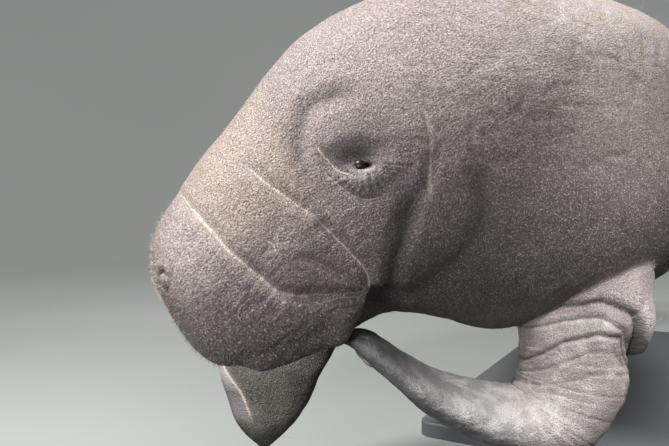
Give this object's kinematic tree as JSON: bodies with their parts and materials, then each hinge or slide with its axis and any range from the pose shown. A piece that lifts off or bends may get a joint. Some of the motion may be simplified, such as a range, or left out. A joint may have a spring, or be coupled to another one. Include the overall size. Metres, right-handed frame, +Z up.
{
  "type": "manatee",
  "caption": "Life-size still model of a manatee, head bowed and one flipper folded up to its mouth, hovering over a plain display stand.",
  "frame": {"origin": "middle of the underside of the stand's base", "axes": "+Z up, the animal faces -X and its left side is -Y"},
  "size_m": [2.7533, 0.7734, 0.864],
  "materials": {
    "skin": "damp grey-brown hide with fine wrinkles",
    "eye": "wet and glossy",
    "nail": "worn horn",
    "stand": "satin dark grey paint"
  },
  "bodies": {
    "root": {"head": "skin", "lower_jaw": "skin", "neck": "skin", "chest": "skin", "belly": "skin", "loins": "skin", "tail_stock": "skin", "tail_paddle": "skin", "flipper_left_upper_arm": "skin", "flipper_left_forearm": "skin", "flipper_left_hand": "skin", "flipper_right_upper_arm": "skin", "flipper_right_forearm": "skin", "flipper_right_hand": "skin", "eye_left": "eye", "eye_right": "eye", "nail_left_1": "nail", "nail_left_2": "nail", "nail_left_3": "nail", "nail_right_1": "nail", "nail_right_2": "nail", "nail_right_3": "nail", "stand_base": "stand", "stand_rod_front": "stand", "stand_rod_rear": "stand"}
  },
  "joints": []
}
